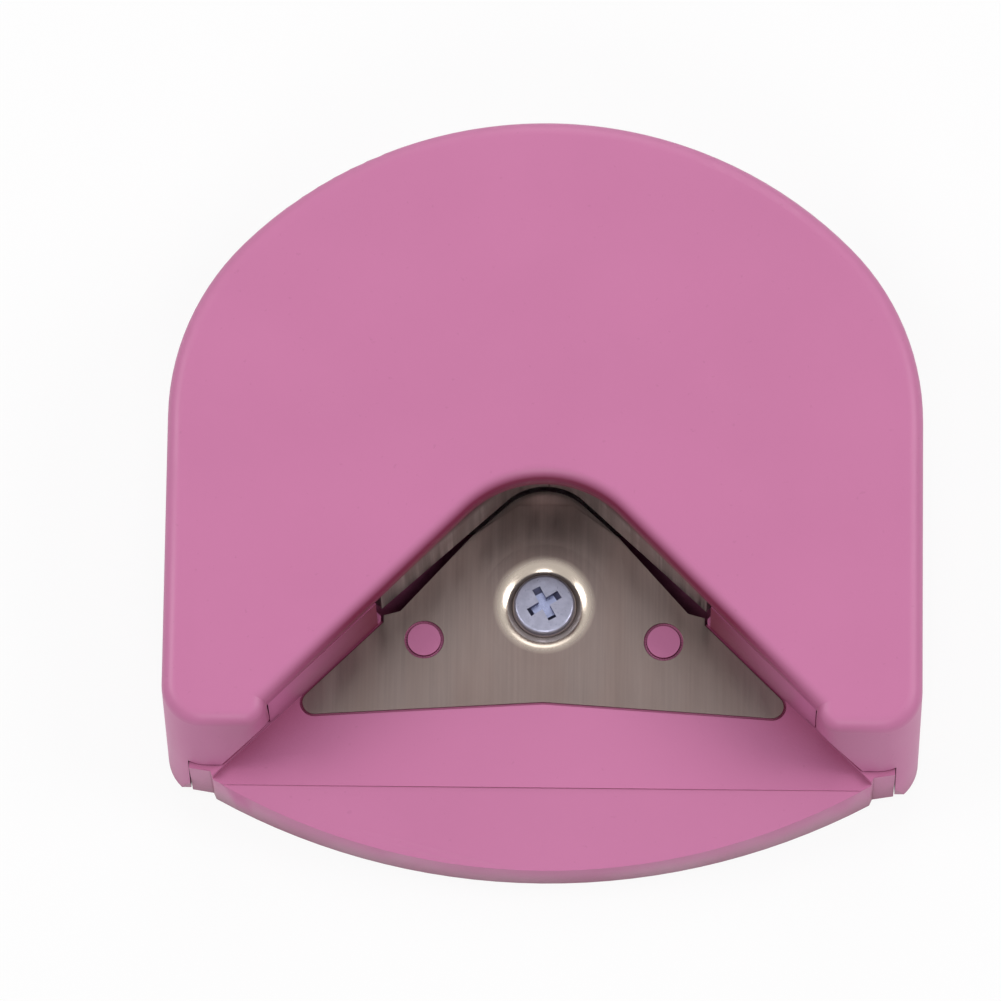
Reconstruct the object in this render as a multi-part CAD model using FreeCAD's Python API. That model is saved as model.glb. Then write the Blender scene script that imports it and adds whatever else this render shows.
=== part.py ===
"""Hand corner rounder for paper and card, 4 mm cutting radius.

Units are millimetres, +Z is up and the base stands on Z = 0.  Every piece is
drawn in a working frame whose Y = 0 is the crease between the ledge and the
sloping lip (+Y towards the back of the punch), and is moved at export so that
the origin is the bottom centre of the whole tool at rest.

The press cover is drawn level, as it is when it is pushed down, and is then
turned up about its pivot to the rest position.
"""
import FreeCAD, Part

import math
import os

from FreeCAD import Vector

# ---------------------------------------------------------------- cover
COVER_HALF_W = 27.1
COVER_FRONT_Y = 1.5         # front face at its lower edge
COVER_FRONT_DRAFT = 16.0    # backward lean of the front face
COVER_EAR_Y = 0.85          # flat front of the two ears, below the legs
COVER_BACK_Y = 47.95
COVER_BACK_R = 30.6
SHOULDER_ANGLE = 45.7
COVER_WALL = 1.7
COVER_TOP_Z = 12.5
COVER_TOP_T = 1.8
COVER_SKIRT_Z = 1.0
COVER_LEG_Z = 6.0
COVER_LEG_X = COVER_HALF_W - 7.5    # inner end of each front leg
COVER_LEG_WALL = 2.0
COVER_LEG_CUT = 1.9         # the legs are cut back this far from top to bottom
COVER_EDGE_R = 1.1
COVER_CORNER_R = 3.0
COVER_LEG_CORNER_R = 1.6
COVER_SIDE_PLAY = 0.5       # base side to cover side
COVER_BACK_PLAY = 0.9       # base back to cover back
NOTCH_R = 7.7
OPEN_ANGLE = 5.0            # rise of the cover at rest

# ---------------------------------------------------------------- base
DECK_Z = 5.0                # ledge the sheet slides over
BASE_HALF_W = COVER_HALF_W - COVER_WALL - COVER_SIDE_PLAY
BACK_WALL_Y = COVER_BACK_Y - COVER_WALL - COVER_BACK_PLAY
LIP_FRONT_Y = -5.75
LIP_HALF_W = BASE_HALF_W - 1.3
LIP_END_Y = 0.35
LIP_FRONT_Z = 3.4
BASE_JOG_X = BASE_HALF_W - 1.1      # small corner between the lip and the side
BASE_JOG_Y = 0.8
BASE_CORNER_X = BASE_HALF_W - 0.2
BASE_CORNER_Y = 1.15
BASE_SIDE_Y = 1.8
BASE_FACE_GAP = 0.12        # bearing faces at the pivot to the inside of the cover
LIP_STEP = 0.12             # fine step between the ledge and the lip
BASE_WALL = 1.3
BASE_WALL_TOP = 9.0
BASE_WALL_START_Y = 8.0     # the side walls begin behind the front corners
FLOOR_Z = 2.0
PLATE_SEAT_Z = 1.2          # underside of the floor, seat of the bottom plate
CORNER_Y = BASE_HALF_W - 0.8        # where the two paper stops would meet
DECK_BACK_Y = CORNER_Y - 9.1        # back edge of the deck at the two sides
STOP_STEP = 0.6             # height of the corner pads above the ledge
STOP_WALL = 5.0             # height of the paper stop walls above the ledge
STOP_WALL_T = 0.8

# ---------------------------------------------------------------- cutting
CUT_RADIUS = 4.0            # radius the punch leaves on the corner of a sheet
PUNCH_CLEARANCE = 0.05      # between punch and die along the cutting edge
FLARE_ANGLE = 43.0          # straight runs beside the cutting arc, from X
PAPER_GAP = 0.8             # ledge to punch when the tool is open
NOTCH_CORNER_Y = CORNER_Y + 0.4     # where the straight notch edges would meet

# ---------------------------------------------------------------- die plate
DIE_T = 1.0
DIE_GAP = 0.2               # gap round the die plate in its recess
DIE_TIP_R = 0.85
DIE_TICK_X = 5.1            # end of the cutting edge, start of the relief
DIE_RELIEF_END = (10.4, CORNER_Y - 10.93)
DIE_EAR_X = 11.6
DIE_EAR_Y = CORNER_Y - 11.25
DIE_FRONT_Y = 6.42          # front edge on the centre line
DIE_FRONT_SLOPE = -0.0634
DIE_COIN_DEPTH = 0.15
DIE_COIN_HALF = 1.97
DIE_COIN_Y = CORNER_Y - 2.8
DIE_PIN_X = 8.64
DIE_PIN_Y = CORNER_Y - 13.06
DIE_PIN_R = 1.2
DIE_HOLE_R = 1.43
DIE_SCREW_Y = CORNER_Y - 10.35
DIE_DIMPLE_R = 3.2
DIE_DIMPLE_DEPTH = 0.45
STOP_WALL_X0 = DIE_EAR_X + 0.4
STOP_WALL_X1 = COVER_LEG_X - 0.65

# ---------------------------------------------------------------- pivot
PIVOT_Y = 4.6
PIVOT_Z = 2.9
PIVOT_R = 0.9
PIVOT_PLAY = 0.05
PIVOT_X0 = BASE_HALF_W - 5.1        # inner end of each pivot pin
PIVOT_X1 = COVER_HALF_W - 0.3       # outer end, a little inside the ear

# ---------------------------------------------------------------- punch
BLADE_T = 1.8
BLADE_H = 4.8
BLADE_ARM_X = 11.7
BLADE_BLOCK_HALF = 5.6
BLADE_BLOCK_BACK_Y = CORNER_Y + 4.7
HOLDER_FRONT_Y = CORNER_Y - 1.2
HOLDER_BACK_Y = CORNER_Y + 8.3
HOLDER_BAR_HALF = BLADE_ARM_X + 1.5
HOLDER_BAR_H = 5.2
GUIDE_PIN_X = HOLDER_BAR_HALF - 2.4
GUIDE_PIN_Y = CORNER_Y + 6.5
GUIDE_PIN_R = 1.0
GUIDE_PIN_TOP_Z = 10.0
GUIDE_PLAY = 0.05
RIB_Y = CORNER_Y + 1.4
RIB_R = 1.0
RIB_Z = COVER_TOP_Z - COVER_TOP_T + 0.62    # centre of the rounded push rib
RIB_HALF = 1.9
RIB_PLAY = 0.02

# ---------------------------------------------------------------- springs
SPRING_WIRE_R = 0.2
SPRING_MEAN_R = 1.5
SPRING_TURNS = 3.0
SPRING_FACES = 4            # the round wire is drawn with this many sides

# ---------------------------------------------------------------- stop tongue
TONGUE_HALF = 4.5
TONGUE_IN_Y = BACK_WALL_Y - 0.9
TONGUE_T = 1.8
TONGUE_SIDE_PLAY = 0.4
TONGUE_STOP_PLAY = 0.04

# ---------------------------------------------------------------- screws
DIE_HEAD_R = 2.2
DIE_HEAD_H = 0.8
DIE_SHANK_R = 1.0
DIE_SCREW_TIP_Z = 1.8
SMALL_SHANK_R = 0.8
PUNCH_HEAD_R = 1.5
PUNCH_HEAD_H = 0.8
PUNCH_SCREW_X = 3.6
PUNCH_SCREW_Y = CORNER_Y + 1.9
PUNCH_SCREW_REACH = 3.6     # depth of the punch screws in the punch
BOTTOM_HEAD_R = 1.7
BOTTOM_HEAD_H = 0.6
BOTTOM_HEAD_SINK = 0.15
BOTTOM_SCREW_TIP_Z = 4.0
BOTTOM_SCREW_X = BASE_HALF_W - 5.9
BOTTOM_SCREW_Y = CORNER_Y - 13.1
BOTTOM_SCREW_BACK_Y = BACK_WALL_Y - 7.6
BOTTOM_SCREWS = (
    (-BOTTOM_SCREW_X, BOTTOM_SCREW_Y),
    (BOTTOM_SCREW_X, BOTTOM_SCREW_Y),
    (0.0, BOTTOM_SCREW_BACK_Y),
)
BOSS_R = 2.2
BOSS_TOP_Z = 5.5

# ---------------------------------------------------------------- bottom plate
BOTTOM_MARGIN = 1.7         # rim of the base left standing round the plate
BOTTOM_GAP = 0.1
WASTE_HALF_W = 7.0
WASTE_Y0 = CORNER_Y - 4.1
WASTE_Y1 = CORNER_Y + 3.4
WASTE_EDGE = 0.5            # the outlet in the plate is wider by this

REACH = 60.0                # longer than the tool, for cutting tools


# ---------------------------------------------------------------- helpers
def vec(x, y, z=0.0):
    return Vector(x, y, z)


def segment(a, b):
    return Part.makeLine(vec(a[0], a[1]), vec(b[0], b[1]))


def arc(a, mid, b):
    points = [vec(p[0], p[1]) for p in (a, mid, b)]
    return Part.Arc(points[0], points[1], points[2]).toShape()


def mirrored(points):
    """The same points on the other side of the centre line, in reverse order."""
    return [(-x, y) for x, y in reversed(points)]


def polygon(points):
    corners = [vec(x, y) for x, y in points]
    return Part.Wire(Part.makePolygon(corners + corners[:1]))


def prism(wire, z0, z1):
    face = Part.Face(wire)
    face.translate(vec(0, 0, z0))
    return face.extrude(vec(0, 0, z1 - z0))


def block(x0, x1, y0, y1, z0, z1):
    return Part.makeBox(x1 - x0, y1 - y0, z1 - z0, vec(x0, y0, z0))


def drum(radius, x, y, z0, z1):
    return Part.makeCylinder(radius, z1 - z0, vec(x, y, z0))


def cone(r0, r1, x, y, z0, z1):
    return Part.makeCone(r0, r1, z1 - z0, vec(x, y, z0))


def both_sides(shape):
    return shape.fuse(shape.mirror(vec(0, 0), vec(1, 0)))


def rest_point(y, z):
    """Where a point of the level cover goes when the cover is up."""
    angle = math.radians(OPEN_ANGLE)
    dy = y - PIVOT_Y
    dz = z - PIVOT_Z
    up_y = PIVOT_Y + dy * math.cos(angle) - dz * math.sin(angle)
    up_z = PIVOT_Z + dy * math.sin(angle) + dz * math.cos(angle)
    return up_y, up_z


# ---------------------------------------------------------------- derived
ARC_CENTRE_Y = CORNER_Y - CUT_RADIUS * math.sqrt(2.0)
BLADE_Z = DECK_Z + PAPER_GAP
BLADE_TOP_Z = BLADE_Z + BLADE_H
CEILING_Z = COVER_TOP_Z - COVER_TOP_T
COVER_ARC_Y = COVER_BACK_Y - COVER_BACK_R
HOLDER_TOP_Z = rest_point(RIB_Y, RIB_Z)[1] - RIB_R - RIB_PLAY
PUNCH_TRAVEL = rest_point(RIB_Y, RIB_Z)[1] - RIB_Z
HOLDER_BAR_Z = HOLDER_TOP_Z - HOLDER_BAR_H
DIE_SEAT_Z = DECK_Z - DIE_T
DIE_HEAD_Z = DECK_Z - DIE_DIMPLE_DEPTH
DIE_EDGE_LINE = CORNER_Y - DIE_GAP
SLOT_TOP_Z = rest_point(BACK_WALL_Y, COVER_SKIRT_Z + TONGUE_T)[1] + TONGUE_STOP_PLAY
BACK_AT_REST = rest_point(COVER_BACK_Y, COVER_SKIRT_Z)[0]
SHIFT = vec(0, -(LIP_FRONT_Y + BACK_AT_REST) / 2.0, 0)


# ---------------------------------------------------------------- outlines
def rounded_back(half_w, back_r, front_points):
    """Outline with straight sides, two shoulder arcs and one wide back arc.

    front_points run from the right end of the front edge round to the right
    side; the left half mirrors them.
    """
    lean = math.radians(SHOULDER_ANGLE)
    across = math.sin(lean)
    along = math.cos(lean)
    shoulder_r = (half_w - back_r * across) / (1.0 - across)
    cx = (back_r - shoulder_r) * across
    cy = COVER_ARC_Y + (back_r - shoulder_r) * along
    half = (math.pi / 2.0 - lean) / 2.0
    mid = (cx + shoulder_r * math.cos(half), cy + shoulder_r * math.sin(half))
    side = (half_w, cy)
    join = (back_r * across, COVER_ARC_Y + back_r * along)
    top = (0.0, COVER_ARC_Y + back_r)
    edges = []
    for start, end in zip(front_points, front_points[1:] + [side]):
        edges.append(segment(start, end))
    edges.append(arc(side, mid, join))
    edges.append(arc(join, top, (-join[0], join[1])))
    edges.append(arc((-join[0], join[1]), (-mid[0], mid[1]), (-side[0], side[1])))
    left = mirrored(front_points)
    for start, end in zip([(-side[0], side[1])] + left[:-1], left):
        edges.append(segment(start, end))
    return edges


def base_outline(inset):
    """Base outline, made smaller all round by inset."""
    half_w = BASE_HALF_W - inset
    back_r = COVER_BACK_R - COVER_WALL - COVER_BACK_PLAY - inset
    lip_end = (LIP_HALF_W - inset, LIP_END_Y + inset)
    jog = (BASE_JOG_X - inset, BASE_JOG_Y + inset)
    corner = (BASE_CORNER_X - inset, BASE_CORNER_Y + inset)
    front = [lip_end, jog, corner, (half_w, BASE_SIDE_Y + inset)]
    edges = rounded_back(half_w, back_r, front)
    lip_mid = (0.0, LIP_FRONT_Y + inset)
    edges.append(arc((-lip_end[0], lip_end[1]), lip_mid, lip_end))
    return Part.Wire(Part.__sortEdges__(edges))


def cover_outline(inset, front_y):
    """Cover outline, made smaller at sides and back by inset."""
    half_w = COVER_HALF_W - inset
    front = [(half_w, front_y)]
    edges = rounded_back(half_w, COVER_BACK_R - inset, front)
    edges.append(segment((-half_w, front_y), (half_w, front_y)))
    return Part.Wire(Part.__sortEdges__(edges))


def arc_end(radius):
    """Where the straight flare leaves a cutting arc of this radius."""
    lean = math.radians(FLARE_ANGLE)
    return radius * math.sin(lean), ARC_CENTRE_Y + radius * math.cos(lean)


def flare_y(x, radius):
    """The straight flare beside the cutting arc, at x."""
    start_x, start_y = arc_end(radius)
    return start_y - (x - start_x) * math.tan(math.radians(FLARE_ANGLE))


def die_corners():
    """Right half of the die plate, from the front centre to the cutting arc."""
    tip_x = (DIE_EDGE_LINE - DIE_FRONT_Y) / (1.0 + DIE_FRONT_SLOPE)
    tip_y = DIE_FRONT_Y + DIE_FRONT_SLOPE * tip_x
    return [
        (tip_x, tip_y),
        (DIE_EAR_X, DIE_EDGE_LINE - DIE_EAR_X),
        (DIE_EAR_X, DIE_EAR_Y),
        DIE_RELIEF_END,
        (DIE_TICK_X, flare_y(DIE_TICK_X, CUT_RADIUS)),
        arc_end(CUT_RADIUS),
    ]


def die_outline(gap):
    """Outline of the die plate, or of its recess when gap is not zero."""
    right = die_corners()
    left = mirrored(right)
    edges = [segment((0.0, DIE_FRONT_Y), right[0])]
    for start, end in zip(right, right[1:]):
        edges.append(segment(start, end))
    edges.append(arc(right[-1], (0.0, ARC_CENTRE_Y + CUT_RADIUS), left[0]))
    for start, end in zip(left, left[1:]):
        edges.append(segment(start, end))
    edges.append(segment(left[-1], (0.0, DIE_FRONT_Y)))
    wire = Part.Wire(Part.__sortEdges__(edges))
    if gap == 0.0:
        return wire
    return Part.Face(wire).makeOffset2D(gap, 2).OuterWire


def round_tips(shape, radius):
    """Round the two upright edges at the outer tips of the die plate."""
    tip = die_corners()[0]
    picked = []
    for edge in shape.Edges:
        box = edge.BoundBox
        upright = box.XLength < 0.01 and box.YLength < 0.01
        if upright and abs(abs(box.XMin) - tip[0]) < 1.0 and abs(box.YMin - tip[1]) < 1.0:
            picked.append(edge)
    return shape.makeFillet(radius, picked)


# ---------------------------------------------------------------- base
def deck_outline():
    """Deck that carries the sheet and the die, up to the punch slot."""
    overhang = 0.5          # the die plate stands this far over the slot
    heel_x = DIE_EAR_X + BLADE_T
    right = [
        (REACH, -REACH),
        (REACH, DECK_BACK_Y),
        (heel_x, DECK_BACK_Y),
        (heel_x, CORNER_Y - DIE_EAR_X + BLADE_T),
        (DIE_EAR_X + 0.15, DIE_EAR_Y - 0.1),
        (DIE_RELIEF_END[0] - 0.2, DIE_EAR_Y + 0.05),
        (DIE_TICK_X, flare_y(DIE_TICK_X, CUT_RADIUS) - overhang),
        (arc_end(CUT_RADIUS)[0], arc_end(CUT_RADIUS)[1] - overhang),
        (0.0, ARC_CENTRE_Y + CUT_RADIUS - overhang),
    ]
    return polygon(right + mirrored(right[:-1]))


def stop_walls():
    """Two thin walls at 45 degrees that stop the edges of the sheet."""
    across = STOP_WALL_T / math.sqrt(2.0)
    start = (STOP_WALL_X0, CORNER_Y - STOP_WALL_X0)
    end = (STOP_WALL_X1, CORNER_Y - STOP_WALL_X1)
    corners = [start, end, (end[0] + across, end[1] + across), (start[0] + across, start[1] + across)]
    return both_sides(prism(polygon(corners), DECK_Z, DECK_Z + STOP_WALL))


def corner_pads():
    """Raised pads behind the paper stops, at the two front corners."""
    back_y = CORNER_Y - STOP_WALL_X0
    corners = [(CORNER_Y, 0.0), (REACH, 0.0), (REACH, back_y), (STOP_WALL_X0, back_y)]
    pads = both_sides(prism(polygon(corners), DECK_Z, DECK_Z + STOP_STEP))
    return pads.common(prism(base_outline(0.0), 0.0, REACH))


def bearing_faces():
    """Thicker base sides round the pivot pins, close to the ears of the cover."""
    face_x = BASE_HALF_W + COVER_SIDE_PLAY - BASE_FACE_GAP
    corners = [
        (BASE_JOG_X, BASE_JOG_Y),
        (BASE_CORNER_X, BASE_CORNER_Y),
        (face_x, BASE_SIDE_Y),
        (face_x, BASE_WALL_START_Y),
        (BASE_JOG_X, BASE_WALL_START_Y),
    ]
    return both_sides(prism(polygon(corners), PLATE_SEAT_Z, DECK_Z + STOP_STEP))


def make_base():
    body = prism(base_outline(0.0), 0.0, BASE_WALL_TOP)
    # the lip slopes down from the crease
    slope = (DECK_Z - LIP_STEP - LIP_FRONT_Z) / -LIP_FRONT_Y
    far = -REACH
    profile = Part.makePolygon([
        vec(-REACH, 0.0, DECK_Z - LIP_STEP),
        vec(-REACH, far, DECK_Z - LIP_STEP + slope * far),
        vec(-REACH, far, REACH),
        vec(-REACH, 0.0, REACH),
        vec(-REACH, 0.0, DECK_Z - LIP_STEP),
    ])
    body = body.cut(Part.Face(profile).extrude(vec(2 * REACH, 0, 0)))
    # everything in front of the side walls ends at the ledge
    body = body.cut(block(-REACH, REACH, -REACH, BASE_WALL_START_Y, DECK_Z, REACH))
    # inside of the walls, down to the floor except where the deck stands
    inside = prism(base_outline(BASE_WALL), FLOOR_Z, REACH)
    inside = inside.cut(prism(deck_outline(), 0.0, DECK_Z))
    body = body.cut(inside)
    # recess for the die plate, with the two locating pins left standing
    recess = round_tips(prism(die_outline(DIE_GAP), DIE_SEAT_Z, DECK_Z + 1.0), DIE_TIP_R + DIE_GAP)
    for side in (-1, 1):
        recess = recess.cut(drum(DIE_PIN_R, side * DIE_PIN_X, DIE_PIN_Y, 0.0, DECK_Z))
    body = body.cut(recess)
    body = body.fuse(stop_walls()).fuse(corner_pads()).fuse(bearing_faces())
    # boss for the rear bottom screw
    boss_x, boss_y = BOTTOM_SCREWS[2]
    body = body.fuse(drum(BOSS_R, boss_x, boss_y, PLATE_SEAT_Z, BOSS_TOP_Z))
    # seat of the bottom plate and waste outlet
    body = body.cut(prism(base_outline(BOTTOM_MARGIN), -1.0, PLATE_SEAT_Z))
    body = body.cut(block(-WASTE_HALF_W, WASTE_HALF_W, WASTE_Y0, WASTE_Y1, -1.0, FLOOR_Z))
    # slot the stop tongue of the cover moves in
    slot_half = TONGUE_HALF + TONGUE_SIDE_PLAY
    slot_y0 = BACK_WALL_Y - BASE_WALL - 0.5
    body = body.cut(block(-slot_half, slot_half, slot_y0, REACH, -1.0, SLOT_TOP_Z))
    # bores
    body = body.cut(drum(DIE_SHANK_R, 0.0, DIE_SCREW_Y, DIE_SCREW_TIP_Z, DECK_Z))
    for x, y in BOTTOM_SCREWS:
        body = body.cut(drum(SMALL_SHANK_R, x, y, 0.0, BOTTOM_SCREW_TIP_Z))
    for side in (-1, 1):
        body = body.cut(drum(GUIDE_PIN_R, side * GUIDE_PIN_X, GUIDE_PIN_Y, 0.0, FLOOR_Z))
    body = body.cut(pivot_cylinder(PIVOT_R, PIVOT_X0, REACH))
    return body.removeSplitter()


def pivot_cylinder(radius, x0, x1):
    """Two cylinders on the pivot axis, one on each side."""
    right = Part.makeCylinder(radius, x1 - x0, vec(x0, PIVOT_Y, PIVOT_Z), vec(1, 0, 0))
    left = Part.makeCylinder(radius, x1 - x0, vec(-x0, PIVOT_Y, PIVOT_Z), vec(-1, 0, 0))
    return Part.makeCompound([right, left])


# ---------------------------------------------------------------- die plate
def make_die_plate():
    plate = round_tips(prism(die_outline(0.0), DIE_SEAT_Z, DECK_Z), DIE_TIP_R)
    coin = [(DIE_TICK_X + 0.3, flare_y(DIE_TICK_X, CUT_RADIUS) - 0.3), (DIE_COIN_HALF, DIE_COIN_Y)]
    coin = coin + mirrored(coin) + [(-DIE_TICK_X - 0.3, CORNER_Y), (DIE_TICK_X + 0.3, CORNER_Y)]
    plate = plate.cut(prism(polygon(coin), DECK_Z - DIE_COIN_DEPTH, DECK_Z + 1.0))
    for side in (-1, 1):
        plate = plate.cut(drum(DIE_HOLE_R, side * DIE_PIN_X, DIE_PIN_Y, 0.0, REACH))
    plate = plate.cut(drum(DIE_SHANK_R, 0.0, DIE_SCREW_Y, 0.0, REACH))
    plate = plate.cut(cone(DIE_HEAD_R + 0.1, DIE_DIMPLE_R, 0.0, DIE_SCREW_Y, DIE_HEAD_Z, DECK_Z))
    return plate


def make_die_screw():
    head = drum(DIE_HEAD_R, 0.0, DIE_SCREW_Y, DIE_HEAD_Z, DIE_HEAD_Z + DIE_HEAD_H)
    top = [edge for edge in head.Edges if edge.BoundBox.ZMin > DIE_HEAD_Z + DIE_HEAD_H - 0.01]
    head = head.makeChamfer(0.3, top)
    shank = drum(DIE_SHANK_R, 0.0, DIE_SCREW_Y, DIE_SCREW_TIP_Z, DIE_HEAD_Z)
    screw = head.fuse(shank)
    # cross recess
    for turn in (22.0, 112.0):
        arm = block(-1.25, 1.25, -0.24, 0.24, DIE_HEAD_Z + 0.25, REACH)
        arm.rotate(vec(0, 0, 0), vec(0, 0, 1), turn)
        arm.translate(vec(0, DIE_SCREW_Y, 0))
        screw = screw.cut(arm)
    return screw


# ---------------------------------------------------------------- punch
def make_blade():
    edge_r = CUT_RADIUS + PUNCH_CLEARANCE
    lean = math.radians(FLARE_ANGLE)
    start = arc_end(edge_r)
    tip = (BLADE_ARM_X, flare_y(BLADE_ARM_X, edge_r))
    heel = (tip[0] + BLADE_T * math.sin(lean), tip[1] + BLADE_T * math.cos(lean))
    inner_y = heel[1] + (heel[0] - BLADE_BLOCK_HALF) * math.tan(lean)
    right = [start, tip, heel, (BLADE_BLOCK_HALF, inner_y), (BLADE_BLOCK_HALF, BLADE_BLOCK_BACK_Y)]
    left = mirrored(right)
    edges = []
    for a, b in zip(right, right[1:] + left[:1]):
        edges.append(segment(a, b))
    for a, b in zip(left, left[1:]):
        edges.append(segment(a, b))
    edges.append(arc(left[-1], (0.0, ARC_CENTRE_Y + edge_r), start))
    blade = prism(Part.Wire(Part.__sortEdges__(edges)), BLADE_Z, BLADE_TOP_Z)
    for side in (-1, 1):
        hole = drum(SMALL_SHANK_R, side * PUNCH_SCREW_X, PUNCH_SCREW_Y, BLADE_TOP_Z - PUNCH_SCREW_REACH, REACH)
        blade = blade.cut(hole)
    return blade


def make_holder():
    pad = block(-BLADE_BLOCK_HALF, BLADE_BLOCK_HALF, HOLDER_FRONT_Y, HOLDER_BACK_Y, BLADE_TOP_Z, HOLDER_TOP_Z)
    bar = block(-HOLDER_BAR_HALF, HOLDER_BAR_HALF, BLADE_BLOCK_BACK_Y, HOLDER_BACK_Y, HOLDER_BAR_Z, HOLDER_TOP_Z)
    holder = pad.fuse(bar).removeSplitter()
    for side in (-1, 1):
        bore = drum(GUIDE_PIN_R + GUIDE_PLAY, side * GUIDE_PIN_X, GUIDE_PIN_Y, 0.0, REACH)
        hole = drum(SMALL_SHANK_R, side * PUNCH_SCREW_X, PUNCH_SCREW_Y, 0.0, REACH)
        sink = cone(SMALL_SHANK_R, PUNCH_HEAD_R, side * PUNCH_SCREW_X, PUNCH_SCREW_Y,
                    HOLDER_TOP_Z - PUNCH_HEAD_H, HOLDER_TOP_Z)
        holder = holder.cut(bore).cut(hole).cut(sink)
    return holder


def make_punch_screws():
    screws = []
    for side in (-1, 1):
        x = side * PUNCH_SCREW_X
        head = cone(SMALL_SHANK_R, PUNCH_HEAD_R, x, PUNCH_SCREW_Y, HOLDER_TOP_Z - PUNCH_HEAD_H, HOLDER_TOP_Z)
        shank = drum(SMALL_SHANK_R, x, PUNCH_SCREW_Y, BLADE_TOP_Z - PUNCH_SCREW_REACH, HOLDER_TOP_Z - PUNCH_HEAD_H)
        screws.append(head.fuse(shank))
    return Part.makeCompound(screws)


def make_guide_pin(side):
    pin = drum(GUIDE_PIN_R, side * GUIDE_PIN_X, GUIDE_PIN_Y, PLATE_SEAT_Z, GUIDE_PIN_TOP_Z)
    top = [edge for edge in pin.Edges if edge.BoundBox.ZMin > GUIDE_PIN_TOP_Z - 0.01]
    return pin.makeChamfer(0.25, top)


def make_spring(side):
    """Open coil between the floor and the punch holder, round a guide pin."""
    length = HOLDER_BAR_Z - FLOOR_Z - 2 * SPRING_WIRE_R
    path = Part.makeLongHelix(length / SPRING_TURNS, length, SPRING_MEAN_R)
    section = []
    for turn in range(SPRING_FACES):
        angle = 2 * math.pi * turn / SPRING_FACES
        section.append(vec(SPRING_MEAN_R + SPRING_WIRE_R * math.cos(angle), 0, SPRING_WIRE_R * math.sin(angle)))
    wire = Part.Wire(Part.makePolygon(section + section[:1]))
    coil = Part.Wire(path.Edges).makePipeShell([wire], True, True)
    coil.translate(vec(side * GUIDE_PIN_X, GUIDE_PIN_Y, FLOOR_Z + SPRING_WIRE_R))
    return coil


# ---------------------------------------------------------------- bottom
def make_bottom_plate():
    plate = prism(base_outline(BOTTOM_MARGIN + BOTTOM_GAP), 0.0, PLATE_SEAT_Z)
    half = WASTE_HALF_W + WASTE_EDGE
    plate = plate.cut(block(-half, half, WASTE_Y0 - WASTE_EDGE, WASTE_Y1 + WASTE_EDGE, -1.0, REACH))
    for x, y in BOTTOM_SCREWS:
        plate = plate.cut(drum(SMALL_SHANK_R, x, y, -1.0, REACH))
        plate = plate.cut(drum(BOTTOM_HEAD_R, x, y, -1.0, BOTTOM_HEAD_SINK + BOTTOM_HEAD_H))
    return plate


def make_bottom_screws():
    screws = []
    for x, y in BOTTOM_SCREWS:
        head = drum(BOTTOM_HEAD_R, x, y, BOTTOM_HEAD_SINK, BOTTOM_HEAD_SINK + BOTTOM_HEAD_H)
        shank = drum(SMALL_SHANK_R, x, y, BOTTOM_HEAD_SINK + BOTTOM_HEAD_H, BOTTOM_SCREW_TIP_Z)
        screws.append(head.fuse(shank))
    return Part.makeCompound(screws)


def make_pivot_pins():
    return pivot_cylinder(PIVOT_R, PIVOT_X0, PIVOT_X1)


# ---------------------------------------------------------------- cover
def notch_outline():
    """Opening in the cover above the die: V with a rounded corner."""
    reach = NOTCH_R / math.sqrt(2.0)
    centre_y = NOTCH_CORNER_Y - NOTCH_R * math.sqrt(2.0)
    right = [(COVER_LEG_X, -REACH), (COVER_LEG_X, NOTCH_CORNER_Y - COVER_LEG_X), (reach, centre_y + reach)]
    left = mirrored(right)
    edges = []
    for start, end in zip(right, right[1:]):
        edges.append(segment(start, end))
    edges.append(arc(right[-1], (0.0, centre_y + NOTCH_R), left[0]))
    for start, end in zip(left, left[1:]):
        edges.append(segment(start, end))
    edges.append(segment(left[-1], right[0]))
    return Part.Wire(Part.__sortEdges__(edges))


def front_corners(shape, x):
    """Corner edges of the leaning front face at this distance from the centre line."""
    picked = []
    for edge in shape.Edges:
        box = edge.BoundBox
        upright = box.XLength < 0.01 and box.ZLength > COVER_EDGE_R and box.YMin < COVER_FRONT_Y + 0.01
        if upright and abs(abs(box.XMin) - x) < 0.01:
            picked.append(edge)
    return picked


def front_side(inset):
    """Everything in front of the leaning front face, or of its inner side."""
    lean = math.tan(math.radians(COVER_FRONT_DRAFT))
    y0 = COVER_FRONT_Y + inset
    corners = [
        vec(-REACH, -REACH, -REACH),
        vec(-REACH, y0 - lean * (COVER_LEG_Z + REACH), -REACH),
        vec(-REACH, y0 + lean * (REACH - COVER_LEG_Z), REACH),
        vec(-REACH, -REACH, REACH),
    ]
    return Part.Face(Part.makePolygon(corners + corners[:1])).extrude(vec(2 * REACH, 0, 0))


def leg_cut(inset):
    """Wedge below the slanted inner side of the right leg, at 45 degrees."""
    far = REACH / 2.0
    low = NOTCH_CORNER_Y / math.sqrt(2.0) + inset
    high = low - COVER_LEG_CUT / math.sqrt(2.0)
    slope = (high - low) / (COVER_TOP_Z - COVER_LEG_Z)
    corners = [
        vec(-REACH, -far, -REACH),
        vec(low - slope * (COVER_LEG_Z + REACH), -far, -REACH),
        vec(high, -far, COVER_TOP_Z),
        vec(high + slope * REACH, -far, COVER_TOP_Z + REACH),
        vec(-REACH, -far, COVER_TOP_Z + REACH),
    ]
    wedge = Part.Face(Part.makePolygon(corners + corners[:1])).extrude(vec(0, REACH, 0))
    wedge.rotate(vec(0, 0, 0), vec(0, 0, 1), 45.0)
    return wedge.common(block(NOTCH_R, REACH, -REACH, REACH, -REACH, REACH))


def front_legs():
    """Walls of the two legs in front of the notch, open towards the back."""
    room = block(COVER_LEG_X, COVER_HALF_W - COVER_WALL / 2.0, 0.0, NOTCH_CORNER_Y - COVER_LEG_X,
                 COVER_LEG_Z, COVER_TOP_Z)
    hollow = room.cut(front_side(COVER_LEG_WALL)).cut(leg_cut(COVER_LEG_WALL))
    return both_sides(room.cut(hollow))


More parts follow.
